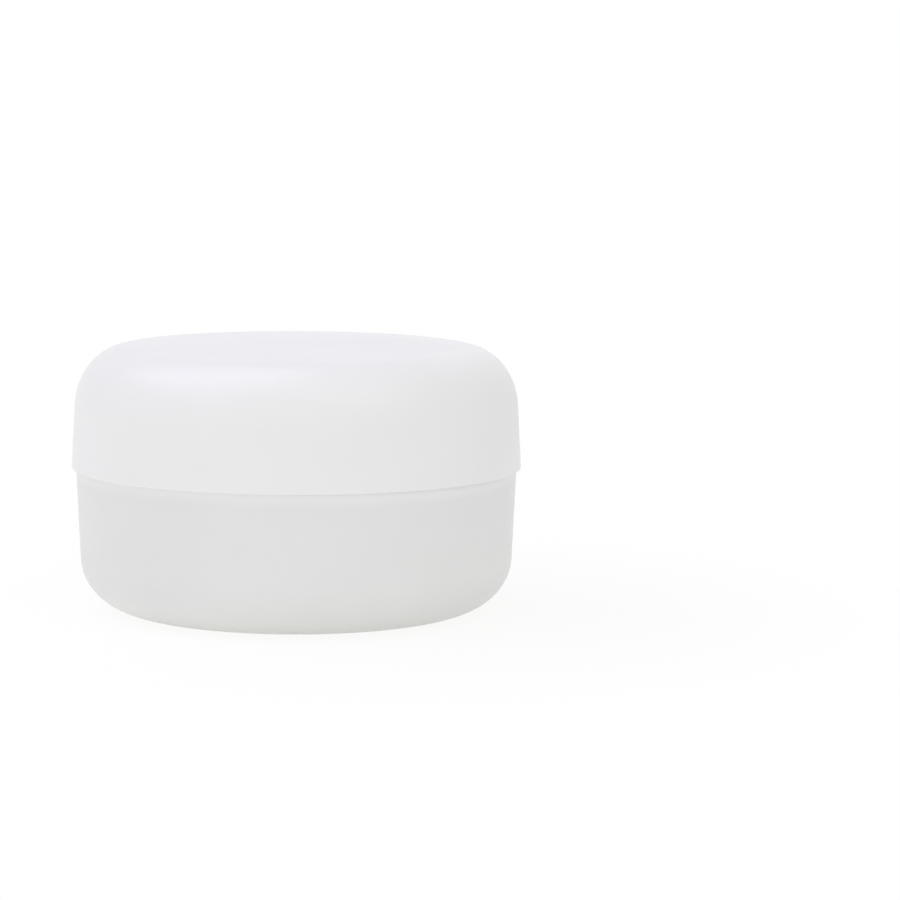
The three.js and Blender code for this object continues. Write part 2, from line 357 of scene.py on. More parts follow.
# %% The moulded skin group
CLOUD_RANGE = (0.2, 0.8)
moulded_skin, skin_in, skin_out = new_group(
    "moulded_skin",
    [
        (VECTOR, "Place", None),
        (COLOUR, "Pale", (0.8, 0.8, 0.8, 1)),
        (COLOUR, "Deep", (0.7, 0.7, 0.7, 1)),
        (FLOAT, "Cloud Scale", 60.0),
        (FLOAT, "Grain Scale", 6000.0),
        (FLOAT, "Gloss Low", 0.34),
        (FLOAT, "Gloss High", 0.46),
    ],
    [(COLOUR, "Colour"), (FLOAT, "Roughness"), (FLOAT, "Height")],
)
cloud = put(
    moulded_skin, "ShaderNodeTexNoise",
    Vector=skin_in["Place"], Scale=skin_in["Cloud Scale"], Detail=3.0, Roughness=0.55).outputs[0]
speck = put(
    moulded_skin, "ShaderNodeTexNoise",
    Vector=skin_in["Place"], Scale=skin_in["Grain Scale"], Detail=2.0, Roughness=0.6).outputs[0]
drift = ranged(moulded_skin, cloud, *CLOUD_RANGE, eased=True)
wire(
    moulded_skin, skin_out,
    Colour=blend_colours(moulded_skin, drift, skin_in["Pale"], skin_in["Deep"]),
    Roughness=ranged(
        moulded_skin, cloud, *CLOUD_RANGE, skin_in["Gloss Low"], skin_in["Gloss High"], eased=True),
    Height=speck)
print("group", moulded_skin.name, "has", len(moulded_skin.nodes), "nodes")

# %% A material around the group
PLASTIC_IOR = 1.49
GLOW_DEPTH = 0.001
GRAIN_HEIGHT = 0.00004


# Painted light: a whiter band just under the shoulder, standing in for light under the lid's overhanging
# rim.
def painted_light_band(tree, place, colour, low, high, white):
    """Blend a colour towards white by height: none below the low edge, all of it at the high edge."""
    height = put(tree, "ShaderNodeSeparateXYZ", Vector=place).outputs["Z"]
    return blend_colours(tree, ranged(tree, height, low * MM, high * MM, eased=True), colour, white)


def moulded(name, pale, deep, gloss, cloud_scale=60.0, grain=0.4, glow=0.2, rim_shade_fill=None):
    """Satin plastic: the moulded skin group around a Principled shader with a little light inside it.

    With a band given, the colour turns whiter towards the shoulder: painted light that fills the shade
    under the lid's rim.
    """
    material, tree, shader, place = new_material(name)
    skin = use_group(
        tree, moulded_skin, Place=place, Pale=(*pale, 1), Deep=(*deep, 1),
        Cloud_Scale=cloud_scale, Gloss_Low=gloss[0], Gloss_High=gloss[1])
    colour = painted_light_band(tree, place, skin["Colour"], *rim_shade_fill) if rim_shade_fill else skin["Colour"]
    wire(
        tree, shader, Base_Color=colour, Roughness=skin["Roughness"],
        Normal=bumped(tree, skin["Height"], grain, GRAIN_HEIGHT), IOR=PLASTIC_IOR,
        Subsurface_Weight=glow, Subsurface_Radius=(1.0, 1.0, 1.0), Subsurface_Scale=GLOW_DEPTH)
    print("finish", name)
    return material


print("moulded finishes can be made")

# %% [markdown]
# ## The outer shell of the body
#
# The lower half of the jar is a thin shell with a wide rounded corner at its foot. Below it has a shallow
# recess, so it stands on a ring, and in the middle of the recess a small sunken mark where the plastic
# was let into the mould. Six slots in its rim hold the cup against turning. The corner is a quarter of
# an ellipse, and the slots are made by moving the inner wall outwards over six short windows of angle.
# They could be cut by a Boolean, but a moved wall keeps its even grid and its smooth shading.

# %% Shell finish and sizes
# Painted light: over this height below the shoulder the shell turns whiter, filling the shade of the lid's
# rim.
PAINTED_LIGHT_HEIGHT = 2.2
shell_plastic = moulded(
    "satin_shell_plastic", pale=(0.8, 0.8, 0.8), deep=(0.787, 0.787, 0.787), gloss=(0.33, 0.41),
    rim_shade_fill=(SHOULDER - PAINTED_LIGHT_HEIGHT, SHOULDER, (0.874, 0.874, 0.874, 1)))
SHELL_WALL = 1.3
SHELL_FLOOR = 1.9
SHELL_DRAFT = 0.6
SHELL_CORNER = (9.0, 8.2)
FOOT_RADIUS = BODY_RADIUS - SHELL_DRAFT - SHELL_CORNER[0]
FOOT_WIDTH = 6.0
RECESS_RADIUS = FOOT_RADIUS - FOOT_WIDTH
RECESS_DEPTH = 0.6
GATE_RADIUS = 2.2
GATE_DEPTH = 0.82
GATE_SLOPE = 0.3
PIP_RADIUS = 0.7
PIP_END = 0.48
PIP_SLOPE = 0.1
SNAP_LENGTH = 5.0
SNAP_BEAD = (0.35, 1.2)
SNAP_LINE = SHOULDER - SNAP_LENGTH + SNAP_BEAD[1]
print("the jar stands on a ring from", round(RECESS_RADIUS, 2), "to", round(FOOT_RADIUS, 2), "mm radius")

# %% Shell outline


def shell_radius(height):
    """Outside radius of the shell's side, which widens evenly up to the shoulder."""
    share = (height - SHELL_CORNER[1]) / (SHOULDER - SHELL_CORNER[1])
    return BODY_RADIUS - SHELL_DRAFT * (1 - share)


def shell_inside(height):
    """Inside radius of the shell's side."""
    return shell_radius(height) - SHELL_WALL


corner_centre = (FOOT_RADIUS, SHELL_CORNER[1])
inner_corner = (SHELL_CORNER[0] - SHELL_WALL, SHELL_CORNER[1] - SHELL_FLOOR)
shell_foot = rounded([
    (0, PIP_END, 0),
    (PIP_RADIUS, PIP_END, 0.1),
    (PIP_RADIUS + PIP_SLOPE, GATE_DEPTH, 0.1),
    (GATE_RADIUS, GATE_DEPTH, 0.15),
    (GATE_RADIUS + GATE_SLOPE, RECESS_DEPTH, 0.15),
    (RECESS_RADIUS - RECESS_DEPTH, RECESS_DEPTH, 0.5),
    (RECESS_RADIUS, 0, 0.3),
    (FOOT_RADIUS, 0, 0),
])
shell_side = rounded([
    (shell_radius(SHELL_CORNER[1]), SHELL_CORNER[1], 0),
    (BODY_RADIUS, SHOULDER, 0.06),
    (shell_inside(SHOULDER), SHOULDER, 0.15),
    (shell_inside(SNAP_LINE + SNAP_BEAD[1]), SNAP_LINE + SNAP_BEAD[1], 0.2),
    (shell_inside(SNAP_LINE) + SNAP_BEAD[0], SNAP_LINE, 0.4),
    (shell_inside(SNAP_LINE - SNAP_BEAD[1]), SNAP_LINE - SNAP_BEAD[1], 0.2),
    (shell_inside(SHELL_CORNER[1]), SHELL_CORNER[1], 0),
])
shell_outline = joined(
    shell_foot,
    oval(corner_centre, SHELL_CORNER, -90, 0, 40),
    shell_side,
    oval(corner_centre, inner_corner, 0, -90, 24),
    np.array([[0, SHELL_FLOOR]]),
)
print("shell outline:", len(shell_outline), "points")

# %% Lugs and slots, shared by the shell and the cup
LUG_COUNT = 6
LUG_WIDTH = 5.0
LUG_DEPTH = 0.6
LUG_GAP = 0.15
LUG_LOW = SHOULDER - 2.6
LUG_HIGH = SHOULDER - 0.4
LUG_SPACING = 2 * np.pi / LUG_COUNT
LUG_SIDE_STEPS = np.array([-0.16, -0.06, 0.06, 0.16])
LUG_SIDE_EASE = 0.12
LUG_END_EASE = 0.15
LUG_ROW_STEP = 0.12
SNAP_GAP = 0.2


def lug_turn(columns, half_width, radius):
    """Even angles, with four more close to each side wall of each lug, so that those walls stand steep."""
    sides = np.concatenate([LUG_SIDE_STEPS - half_width, LUG_SIDE_STEPS + half_width]) / radius
    middle = np.arange(LUG_COUNT) * LUG_SPACING
    extra = (middle[:, None] + sides[None, :]).ravel() % (2 * np.pi)
    return np.unique(np.concatenate([even_turn(columns), extra]).round(6))


def lug_window(turn, half_width, radius):
    """1 over each lug and 0 between them, easing over about a tenth of a millimetre at its two sides."""
    from_middle = np.abs((turn + LUG_SPACING / 2) % LUG_SPACING - LUG_SPACING / 2) * radius
    return 1 - eased_step(from_middle, half_width, LUG_SIDE_EASE)


print("lugs:", LUG_COUNT, "of", LUG_WIDTH, "mm")

# %% Shell surface with its six slots
SHELL_COLUMNS = 288
SLOT_SKIN = 0.32
SLOT_MARGIN = 0.6
RIM_MARGIN = 0.2
slot_half = LUG_WIDTH / 2 + LUG_GAP
slot_reach = shell_inside(SHOULDER) - SNAP_GAP + LUG_DEPTH + LUG_GAP
slot_skin = BODY_RADIUS - SLOT_SKIN
shell_outline = cut_finer(
    shell_outline, LUG_ROW_STEP, shell_inside(SHOULDER), LUG_LOW - SLOT_MARGIN, SHOULDER - RIM_MARGIN)
radius, turn, height = turned(shell_outline, lug_turn(SHELL_COLUMNS, slot_half, slot_reach))
window = lug_window(turn, slot_half, slot_reach) * eased_step(height, LUG_LOW - LUG_GAP, LUG_END_EASE)
room = np.clip((slot_skin - radius) / (slot_skin - shell_inside(SHOULDER)), 0, 1)
radius = radius + (slot_reach - shell_inside(SHOULDER)) * window * room
outer_shell = closed_skin("jar_outer_shell", around(radius, turn, height))
dress(outer_shell, shell_plastic, "jar", "outer_shell")
print("shell:", len(outer_shell.data.polygons), "faces")

# %% [markdown]
# ## The inner cup and its threaded neck
#
# The cup holds the pads. It hangs in the shell by a flange and a snap skirt, and its neck carries three
# thread ridges that start 120 degrees apart, so the lid grips after a short turn. A thread could be a
# Screw modifier on a small profile, joined by a Boolean. A ridge that is only added to the wall's radius
# needs no join and fades cleanly into the wall at both ends.

# %% Cup finish and sizes
cup_plastic = moulded(
    "glossy_cup_plastic", pale=(0.80, 0.80, 0.79), deep=(0.775, 0.775, 0.765), gloss=(0.29, 0.38),
    cloud_scale=45.0)
CUP_REACH, CUP_BOTTOM, NECK_RIM = span("inner_cup")
CUP_WALL = 1.2
PAD_CLEARANCE = 0.8
CUP_BORE = PAD_RADIUS + PAD_CLEARANCE
CUP_FLOOR = CUP_BOTTOM + CUP_WALL
CUP_CORNER = 3.0
CUP_FLANGE = 1.3
NECK_RADIUS = CUP_BORE + CUP_WALL
NECK_FILLET = 0.8
SNAP_WALL = 1.1
print("neck", round(2 * NECK_RADIUS, 2), "mm wide, rim at", NECK_RIM, "mm")

# %% Cup outline


def skirt_radius(height):
    """Outside radius of the snap skirt, a small gap inside the shell's wall."""
    return shell_inside(height) - SNAP_GAP


snap_end = SHOULDER - SNAP_LENGTH
skirt_inner = skirt_radius(snap_end) - SNAP_WALL
cup_outline = joined(
    np.array([[0, CUP_BOTTOM]]),
    oval((NECK_RADIUS - CUP_CORNER, CUP_BOTTOM + CUP_CORNER), (CUP_CORNER, CUP_CORNER), -90, 0, 14),
    rounded([
        (NECK_RADIUS, CUP_BOTTOM + CUP_CORNER, 0),
        (NECK_RADIUS, SHOULDER - CUP_FLANGE, 0.4),
        (skirt_inner, SHOULDER - CUP_FLANGE, 0.4),
        (skirt_inner, snap_end, 0.2),
        (skirt_radius(snap_end) - SNAP_WALL / 3, snap_end, 0.2),
        (skirt_radius(SNAP_LINE) + SNAP_BEAD[0], SNAP_LINE, 0.4),
        (skirt_radius(SNAP_LINE + SNAP_BEAD[1]), SNAP_LINE + SNAP_BEAD[1], 0.2),
        (skirt_radius(SHOULDER), SHOULDER, 0.28),
        (NECK_RADIUS, SHOULDER, NECK_FILLET),
        (NECK_RADIUS, NECK_RIM, 0.35),
        (CUP_BORE, NECK_RIM, 0.35),
        (CUP_BORE, CUP_FLOOR, PAD_CLEARANCE),
        (0, CUP_FLOOR, 0),
    ]),
)
print("cup outline:", len(cup_outline), "points")

# %% Thread, shared by the neck and the lid
THREAD_STARTS = 3
THREAD_LEAD = 12.0
THREAD_SWEEP = 150.0
THREAD_RUN_OUT = 14.0
THREAD_FIRST = 2.5
THREAD_DEPTH = 0.9
THREAD_BASE = 2.0
THREAD_CREST = 1.0
THREAD_RISE = THREAD_LEAD * THREAD_SWEEP / 360
ON_WALL = 0.01


def thread_ridge(turn, height, first_height):
    """Height of the thread above its wall, from 0 to 1.

    Each start begins at its own angle and climbs one lead in a full turn. Across the ridge the height
    falls from the crest to the base on each side. Along the ridge it fades over the run-out at both ends.
    """
    total = np.zeros_like(height)
    for start in range(THREAD_STARTS):
        along = (np.degrees(turn) - THREAD_FIRST - start * 360 / THREAD_STARTS) % 360
        centre = first_height + THREAD_LEAD * along / 360
        across = (THREAD_BASE / 2 - np.abs(height - centre)) / ((THREAD_BASE - THREAD_CREST) / 2)
        fade = np.minimum(along, THREAD_SWEEP - along) / THREAD_RUN_OUT
        total = np.maximum(total, smooth(across) * smooth(fade))
    return total


print("each thread start climbs", THREAD_RISE, "mm over", THREAD_SWEEP, "degrees")

# %% Cup surface with its thread and lugs
CUP_COLUMNS = 330
NECK_LEAD_IN = 2.6
NECK_THREAD = NECK_RIM - NECK_LEAD_IN - THREAD_RISE
NECK_ROW_STEP = 0.13
NECK_MARGIN = 0.6
THREAD_MARGIN = 1.5
LUG_MARGIN = 0.3
cup_outline = cut_finer(
    cup_outline, NECK_ROW_STEP, NECK_RADIUS, NECK_THREAD - THREAD_MARGIN, NECK_RIM - NECK_MARGIN)
cup_outline = cut_finer(
    cup_outline, LUG_ROW_STEP, skirt_radius(LUG_HIGH), LUG_LOW - LUG_MARGIN, SHOULDER - RIM_MARGIN)
radius, turn, height = turned(cup_outline, lug_turn(CUP_COLUMNS, LUG_WIDTH / 2, CUP_REACH))
on_neck = (np.abs(radius - NECK_RADIUS) < ON_WALL) & (height > SHOULDER + NECK_FILLET)
radius = radius + on_neck * THREAD_DEPTH * thread_ridge(turn, height, NECK_THREAD)
lug = lug_window(turn, LUG_WIDTH / 2, CUP_REACH)
lug = lug * eased_step(height, LUG_LOW, LUG_END_EASE) * (1 - eased_step(height, LUG_HIGH, LUG_END_EASE))
on_skirt = radius > skirt_inner + SNAP_WALL / 2
radius = np.where(on_skirt, radius + lug * (CUP_REACH - radius), radius)
inner_cup = closed_skin("jar_inner_cup", around(radius, turn, height))
dress(inner_cup, cup_plastic, "jar", "inner_cup")
print("cup:", len(inner_cup.data.polygons), "faces")

# %% [markdown]
# ## The screw lid
#
# The lid is the upper half of the jar: a low crown, a wide rounded shoulder, a side with a little draft
# and a rounded rim that hangs just over the body. Underneath, a second skirt carries the thread that
# runs on the neck, with a bead above it that keeps the liner in. It could be two shells joined, one for
# the dome and one for the skirt. One outline does it with no join: from the ceiling down the inner skirt,
# through the hollow between the two skirts, round the rim and over the crown.

# %% Lid finish and sizes
lid_plastic = moulded(
    "satin_lid_plastic", pale=(0.86, 0.86, 0.86), deep=(0.848, 0.848, 0.848), gloss=(0.30, 0.38))
SEAM_LINE = 0.01
LID_RIM = SHOULDER + SEAM_LINE
LID_RIM_ROUND = 0.3
LID_WALL = 1.4
LID_DRAFT = 0.5
LID_SIDE_RADIUS = RIM_RADIUS - LID_DRAFT
LID_CORNER = (7.7, 9.5)
LID_CROWN = 0.76
LID_TOP_EDGE = span("lid_shell")[2] - LID_CROWN
LINER_GAP = 0.1
LINER_ROOM = 0.2
LID_CEILING = LINER_TOP + LINER_GAP
LID_BORE = LINER_RADIUS + LINER_ROOM
LID_SKIRT_WALL = 1.2
LID_SKIRT_RADIUS = LID_BORE + LID_SKIRT_WALL
LID_SKIRT_LIP = 0.8
FLANK_GAP = 0.25
LID_THREAD = NECK_THREAD - (THREAD_BASE + THREAD_CREST) / 2 - FLANK_GAP
LID_SKIRT_END = LID_THREAD - THREAD_BASE / 2 - LID_SKIRT_LIP
BEAD_TOP = LINER_BOTTOM - LINER_GAP
BEAD_DEPTH = 0.35
BEAD_END = BEAD_TOP - 2 * BEAD_DEPTH
print("lid", 2 * RIM_RADIUS, "mm wide, top at", round(LID_TOP_EDGE + LID_CROWN, 2), "mm")

# %% Lid outline
corner_radius = LID_SIDE_RADIUS - LID_CORNER[0]
corner_height = LID_TOP_EDGE - LID_CORNER[1]
hollow = (LID_CORNER[0] - LID_WALL, LID_CORNER[1] - LID_WALL)
hollow_start = math.degrees(math.acos((LID_SKIRT_RADIUS - corner_radius) / hollow[0]))
hollow_arc = oval((corner_radius, corner_height), hollow, hollow_start, 0, 24)
lid_under = rounded([
    (0, LID_CEILING, 0),
    (LID_BORE, LID_CEILING, 0.2),
    (LID_BORE, BEAD_TOP, 0.05),
    (LID_BORE - BEAD_DEPTH, BEAD_TOP - BEAD_DEPTH, 0.15),
    (LID_BORE, BEAD_END, 0.1),
    (LID_BORE, LID_SKIRT_END, 0.35),
    (LID_SKIRT_RADIUS, LID_SKIRT_END, 0.35),
    (LID_SKIRT_RADIUS, hollow_arc[0, 1], 0),
])
lid_rim = rounded([
    (*hollow_arc[-1], 0),
    (RIM_RADIUS - LID_WALL, LID_RIM, 0.3),
    (RIM_RADIUS, LID_RIM, LID_RIM_ROUND),
    (LID_SIDE_RADIUS, corner_height, 0),
], steps=11)
share = np.linspace(1, 0, 24)
crown = np.column_stack([corner_radius * share, LID_TOP_EDGE + LID_CROWN * (1 - share ** 2)])
lid_corner = oval((corner_radius, corner_height), LID_CORNER, 0, 90, 48)
lid_outline = joined(lid_under, hollow_arc, lid_rim, lid_corner, crown)
print("lid outline:", len(lid_outline), "points")

# %% Lid surface with its inner thread
LID_COLUMNS = 340
LID_ROW_STEP = 0.14
BEAD_MARGIN = 0.1
lid_outline = cut_finer(lid_outline, LID_ROW_STEP, LID_BORE, LID_SKIRT_END, BEAD_END - BEAD_MARGIN)
radius, turn, height = turned(lid_outline, even_turn(LID_COLUMNS))
on_bore = (np.abs(radius - LID_BORE) < ON_WALL) & (height < BEAD_END)
radius = radius - on_bore * THREAD_DEPTH * thread_ridge(turn, height, LID_THREAD)
lid_shell = closed_skin("screw_lid", around(radius, turn, height))
dress(lid_shell, lid_plastic, "lid", "lid_shell")
print("lid:", len(lid_shell.data.polygons), "faces")

# %% [markdown]
# ## The foam liner
#
# A thin disc of closed-cell foam lies against the lid's ceiling and presses on the sealing disc. Foam
# that has been screwed down keeps a shallow ring where the flange sat. The ring is in the outline, and
# the small cells are a Voronoi pattern in the bump, because they are finer than any useful mesh.

# %% Foam finish


def ramp(tree, factor, *stops):
    """Colours along a factor: each stop is a position and a colour."""
    node = put(tree, "ShaderNodeValToRGB", Fac=factor)
    for element, (position, colour) in zip(node.color_ramp.elements, stops):
        element.position = position
        element.color = (*colour, 1)
    return node.outputs[0]


def foam_finish():
    """Dull foam: pale cells with darker walls, and a roughness that drifts."""
    material, tree, shader, place = new_material("closed_cell_foam")
    cells = put(tree, "ShaderNodeTexVoronoi", Vector=place, Scale=2600.0).outputs["Distance"]
    drift = put(tree, "ShaderNodeTexNoise", Vector=place, Scale=180.0, Detail=4.0).outputs[0]
    wire(
        tree, shader,
        Base_Color=ramp(tree, cells, (0.0, (0.83, 0.83, 0.82)), (1.0, (0.70, 0.70, 0.69))),
        Roughness=ranged(tree, drift, 0.0, 1.0, 0.6, 0.85),
        Normal=bumped(tree, cells, 0.35, 0.00015))
    return material


foam = foam_finish()
print("finish", foam.name)

# %% Liner surface
LINER_COLUMNS = 180
PRESS_INNER = (22.8, 23.3)
PRESS_OUTER = (25.5, 25.9)
PRESS_DEPTH = 0.14
LINER_LIFT = 0.03
liner_outline = rounded([
    (0, LINER_BOTTOM + LINER_LIFT, 0),
    (PRESS_INNER[0], LINER_BOTTOM + LINER_LIFT, 1.0),
    (PRESS_INNER[1], LINER_BOTTOM + PRESS_DEPTH, 0.3),
    (PRESS_OUTER[0], LINER_BOTTOM + PRESS_DEPTH, 0.3),
    (PRESS_OUTER[1], LINER_BOTTOM, 0.3),
    (LINER_RADIUS, LINER_BOTTOM, 0.25),
    (LINER_RADIUS, LINER_TOP, 0.2),
    (0, LINER_TOP, 0),
])
lid_liner = closed_skin("foam_liner", around(*turned(liner_outline, even_turn(LINER_COLUMNS))))
dress(lid_liner, foam, "liner", "lid_liner")
print("liner:", len(lid_liner.data.polygons), "faces")

# %% [markdown]
# ## The sealing disc and its pull tab
#
# A thin dish plugs the neck and keeps the pads wet. Its flange lies on the rim, and a half-moon fin in
# the middle is there to pinch. The dish is one more turned outline, with a low ring that stiffens its
# floor. The fin could be a cut plate with a Bevel. Here it is a closed section carried along a straight
# line: a rounded box that grows and shrinks with the half-moon, flared where it meets the floor.

# %% Disc finish and dish surface
disc_plastic = moulded(
    "milky_disc_plastic", pale=(0.78, 0.80, 0.80), deep=(0.72, 0.74, 0.75), gloss=(0.28, 0.38),
    cloud_scale=90.0, grain=0.25, glow=0.4)
DISC_FLANGE, DISC_BOTTOM, DISC_TOP = span("sealing_disc")
DISC_COLUMNS = 240
DISC_WALL = 0.8
DISC_DRAFT = 0.4
PLUG_GAP = 0.25
DISC_PLUG = CUP_BORE - PLUG_GAP
DISH_FLOOR = DISC_BOTTOM + DISC_WALL
RING_OUTER = (17.6, 17.2)
RING_INNER = (16.4, 16.0)
RING_HEIGHT = 0.25
disc_outline = rounded([
    (0, DISC_BOTTOM, 0),
    (DISC_PLUG - DISC_DRAFT, DISC_BOTTOM, 0.6),
    (DISC_PLUG, DISC_TOP - DISC_WALL, 0.1),
    (DISC_FLANGE, DISC_TOP - DISC_WALL, 0.3),
    (DISC_FLANGE, DISC_TOP, 0.35),
    (DISC_PLUG - DISC_WALL, DISC_TOP, 0.35),
    (DISC_PLUG - DISC_DRAFT - DISC_WALL, DISH_FLOOR, 0.5),
    (RING_OUTER[0], DISH_FLOOR, 0.3),
    (RING_OUTER[1], DISH_FLOOR + RING_HEIGHT, 0.2),
    (RING_INNER[0], DISH_FLOOR + RING_HEIGHT, 0.2),
    (RING_INNER[1], DISH_FLOOR, 0.3),
    (0, DISH_FLOOR, 0),
])
sealing_disc = closed_skin("sealing_dish", around(*turned(disc_outline, even_turn(DISC_COLUMNS))))
dress(sealing_disc, disc_plastic, "disc", "sealing_disc")
print("dish:", len(sealing_disc.data.polygons), "faces")

# %% Pull tab sizes
TAB_LENGTH = 18.0
TAB_GAP = 0.6
TAB_HEIGHT = DISC_TOP - DISH_FLOOR - TAB_GAP
TAB_THICKNESS = 1.3
TAB_SUNK = DISC_WALL / 2
TAB_ROUND = 0.35
FLARE_WIDTH = 0.55
FLARE_REACH = 0.45
EDGE_BEAD = 0.14
EDGE_BEAD_DROP = 0.45
EDGE_BEAD_REACH = 0.35
print("the tab is", TAB_LENGTH, "mm long and", round(TAB_HEIGHT, 2), "mm high")

# %% Pull tab surface


def tab_points(rows=97, columns=72):
    """Grid of the fin: rows along its length and columns round its section.

    Along the length x runs from one end to the other by the cosine of an even angle, so rows crowd at the
    ends. The fin's height there is the full height times (1 - x^2) to the power 0.35, and its thickness
    the full one times the root of 1 - x^12. Round the section a superellipse gives a box with soft edges,
    thicker by a flare that dies away above the floor and by a small bead just below the upper edge.
    """
    x = -np.cos(np.linspace(0, np.pi, rows))[:, None]
    angle = even_turn(columns)[None, :]
    box_y = np.sign(np.cos(angle)) * np.abs(np.cos(angle)) ** TAB_ROUND
    box_z = np.sign(np.sin(angle)) * np.abs(np.sin(angle)) ** TAB_ROUND
    tall = TAB_HEIGHT * np.maximum(1 - x ** 2, 0) ** TAB_ROUND
    z = (tall - TAB_SUNK) / 2 + (tall + TAB_SUNK) / 2 * box_z
    thin = TAB_THICKNESS / 2 * np.maximum(1 - x ** 12, 0) ** 0.5
    flare = FLARE_WIDTH * np.exp(-(np.maximum(z, 0) / FLARE_REACH) ** 2)
    from_bead = (z - tall + EDGE_BEAD_DROP) / EDGE_BEAD_REACH
    bead = EDGE_BEAD * np.exp(-from_bead ** 2) * np.minimum(1, tall / 2)
    y = box_y * thin * (1 + (flare + bead) / (TAB_THICKNESS / 2))
    x = np.broadcast_to(x * TAB_LENGTH / 2, z.shape)
    return np.stack([x, y, z + DISH_FLOOR], axis=-1)


pull_tab = closed_skin("pull_tab", tab_points())
dress(pull_tab, disc_plastic, "disc", "sealing_disc")
print("tab:", len(pull_tab.data.polygons), "faces")

# %% [markdown]
# ## The finish of the soaked pads
#
# The pads are cut from a thin nonwoven cloth. Close up it is a mat of crossing fibres, embossed with rows
# of small dots where the mat is pressed thin, and wet in patches. A picture of cloth could be laid on it.
# Noise that is drawn out along three directions gives the fibres at any distance instead, and two cosine
# waves give the dots. The same waves dent the mesh below, so that colour and shape agree.

# %% Group of crossing fibres
FIBRE_TURN = 25
FIBRE_NARROW = (1, 0.1, 1)
fibre_mat, mat_in, mat_out = new_group(
    "fibre_mat",
    [(VECTOR, "Place", None), (FLOAT, "Fibre Scale", 900.0)],
    [(FLOAT, "Height"), (FLOAT, "Clump"), (FLOAT, "Dots")],
)
top_fibre = None
for direction in range(3):
    lay = put(
        fibre_mat, "ShaderNodeMapping", Vector=mat_in["Place"],
        Rotation=(0, 0, math.radians(FIBRE_TURN + 60 * direction)), Scale=FIBRE_NARROW)
    lay.vector_type = "TEXTURE"
    fibre = put(
        fibre_mat, "ShaderNodeTexNoise",
        Vector=lay.outputs[0], Scale=mat_in["Fibre Scale"], Detail=3.0, Roughness=0.6).outputs[0]
    top_fibre = calc(fibre_mat, "MAXIMUM", top_fibre, fibre).outputs[0] if direction else fibre
clump = put(fibre_mat, "ShaderNodeTexNoise", Vector=mat_in["Place"], Scale=260.0, Detail=4.0).outputs[0]
wire(fibre_mat, mat_out, Height=top_fibre, Clump=clump)
print("fibres cross at 60 degrees")

# %% Embossed dots in the group
EMBOSS_STEP = 3.2
EMBOSS_EDGE = (19.5, 20.4)
across = put(fibre_mat, "ShaderNodeSeparateXYZ", Vector=mat_in["Place"]).outputs
ripples = []
for axis in "XY":
    phase = calc(fibre_mat, "MULTIPLY", across[axis], 2 * math.pi / (EMBOSS_STEP * MM))
    ripples.append(calc(fibre_mat, "COSINE", phase.outputs[0]).outputs[0])
lattice = calc(fibre_mat, "ADD", *ripples).outputs[0]
dots = ranged(fibre_mat, lattice, 0.7, 1.3, eased=True)
flat = calc(fibre_mat, "MULTIPLY", mat_in["Place"], (1, 1, 0), kind="ShaderNodeVectorMath")
spread = calc(fibre_mat, "LENGTH", flat.outputs["Vector"], kind="ShaderNodeVectorMath").outputs["Value"]
inside = ranged(fibre_mat, spread, EMBOSS_EDGE[0] * MM, EMBOSS_EDGE[1] * MM, 1.0, 0.0)
wire(fibre_mat, mat_out, Dots=calc(fibre_mat, "MULTIPLY", dots, inside).outputs[0])
print("group", fibre_mat.name, "has", len(fibre_mat.nodes), "nodes")

# %% Pad finish


def fleece_finish():
    """Wet fleece: fibres from deep to pale, greyer in the dots, glossier where a film of lotion lies."""
    material, tree, shader, place = new_material("soaked_pad_fleece")
    mat = use_group(tree, fibre_mat, Place=place)
    pile = ramp(tree, mat["Height"], (0.35, (0.74, 0.735, 0.71)), (0.75, (0.88, 0.875, 0.86)))
    pressed = ranged(tree, mat["Dots"], 0.0, 1.0, 0.0, 0.55)
    wire(
        tree, shader,
        Base_Color=blend_colours(tree, pressed, pile, (0.70, 0.70, 0.68, 1)),
        Roughness=ranged(tree, mat["Clump"], 0.35, 0.65, 0.45, 0.8),
        Coat_Weight=ranged(tree, mat["Clump"], 0.4, 0.7, 0.4, 0.0),
        Coat_Roughness=0.3,
        Normal=bumped(tree, mat["Height"], 0.6, 0.0002))
    return material


fleece = fleece_finish()
print("finish", fleece.name)

# %% [markdown]
# ## The stack of soaked pads
#
# The pads lie flat and wet on one another, and the edge of each is crimped a little thinner. A cloth
# simulation would leave a stack of 45 flat discs as it found them. So each pad is a closed grid: two
# faces and an edge, with an outline that wanders a little, and a slow wave that all of them share and
# that grows from nothing at the bottom of the stack to its top. Neighbours then never cut into each other.

# %% Pad sizes and the wave of the stack
PAD_PITCH = round(span("pad_02")[1] - FIRST_PAD, 3)
PAD_THICKNESS = round(FIRST_PAD_TOP - FIRST_PAD, 3)
PAD_SEED = 700
EMBOSS_DEPTH = 0.22
EMBOSS_FADE = 0.04
WANDER = (0.03, 0.09)
SLIP = 0.14
BORDER = 0.88
CRIMP = 0.4
UNDER_LIFT = 0.05
TOP_WAVE = 0.3


def stack_wave(x, y, share):
    """The wave that all pads share: a sine times a cosine, plus a slanting sine, calmer in the middle."""
    wave = np.sin(x / 6.5 + 0.4) * np.cos(y / 8.0 - 0.7) + 0.5 * np.sin((x - 2 * y) / 11.0 + 1.9)
    return wave * (0.35 + 0.65 * share ** 2)


print("pads", PAD_THICKNESS, "mm thick, one every", PAD_PITCH, "mm")

# %% Pad surface
FINE_GRID = (72, 300)
PLAIN_GRID = (12, 72)


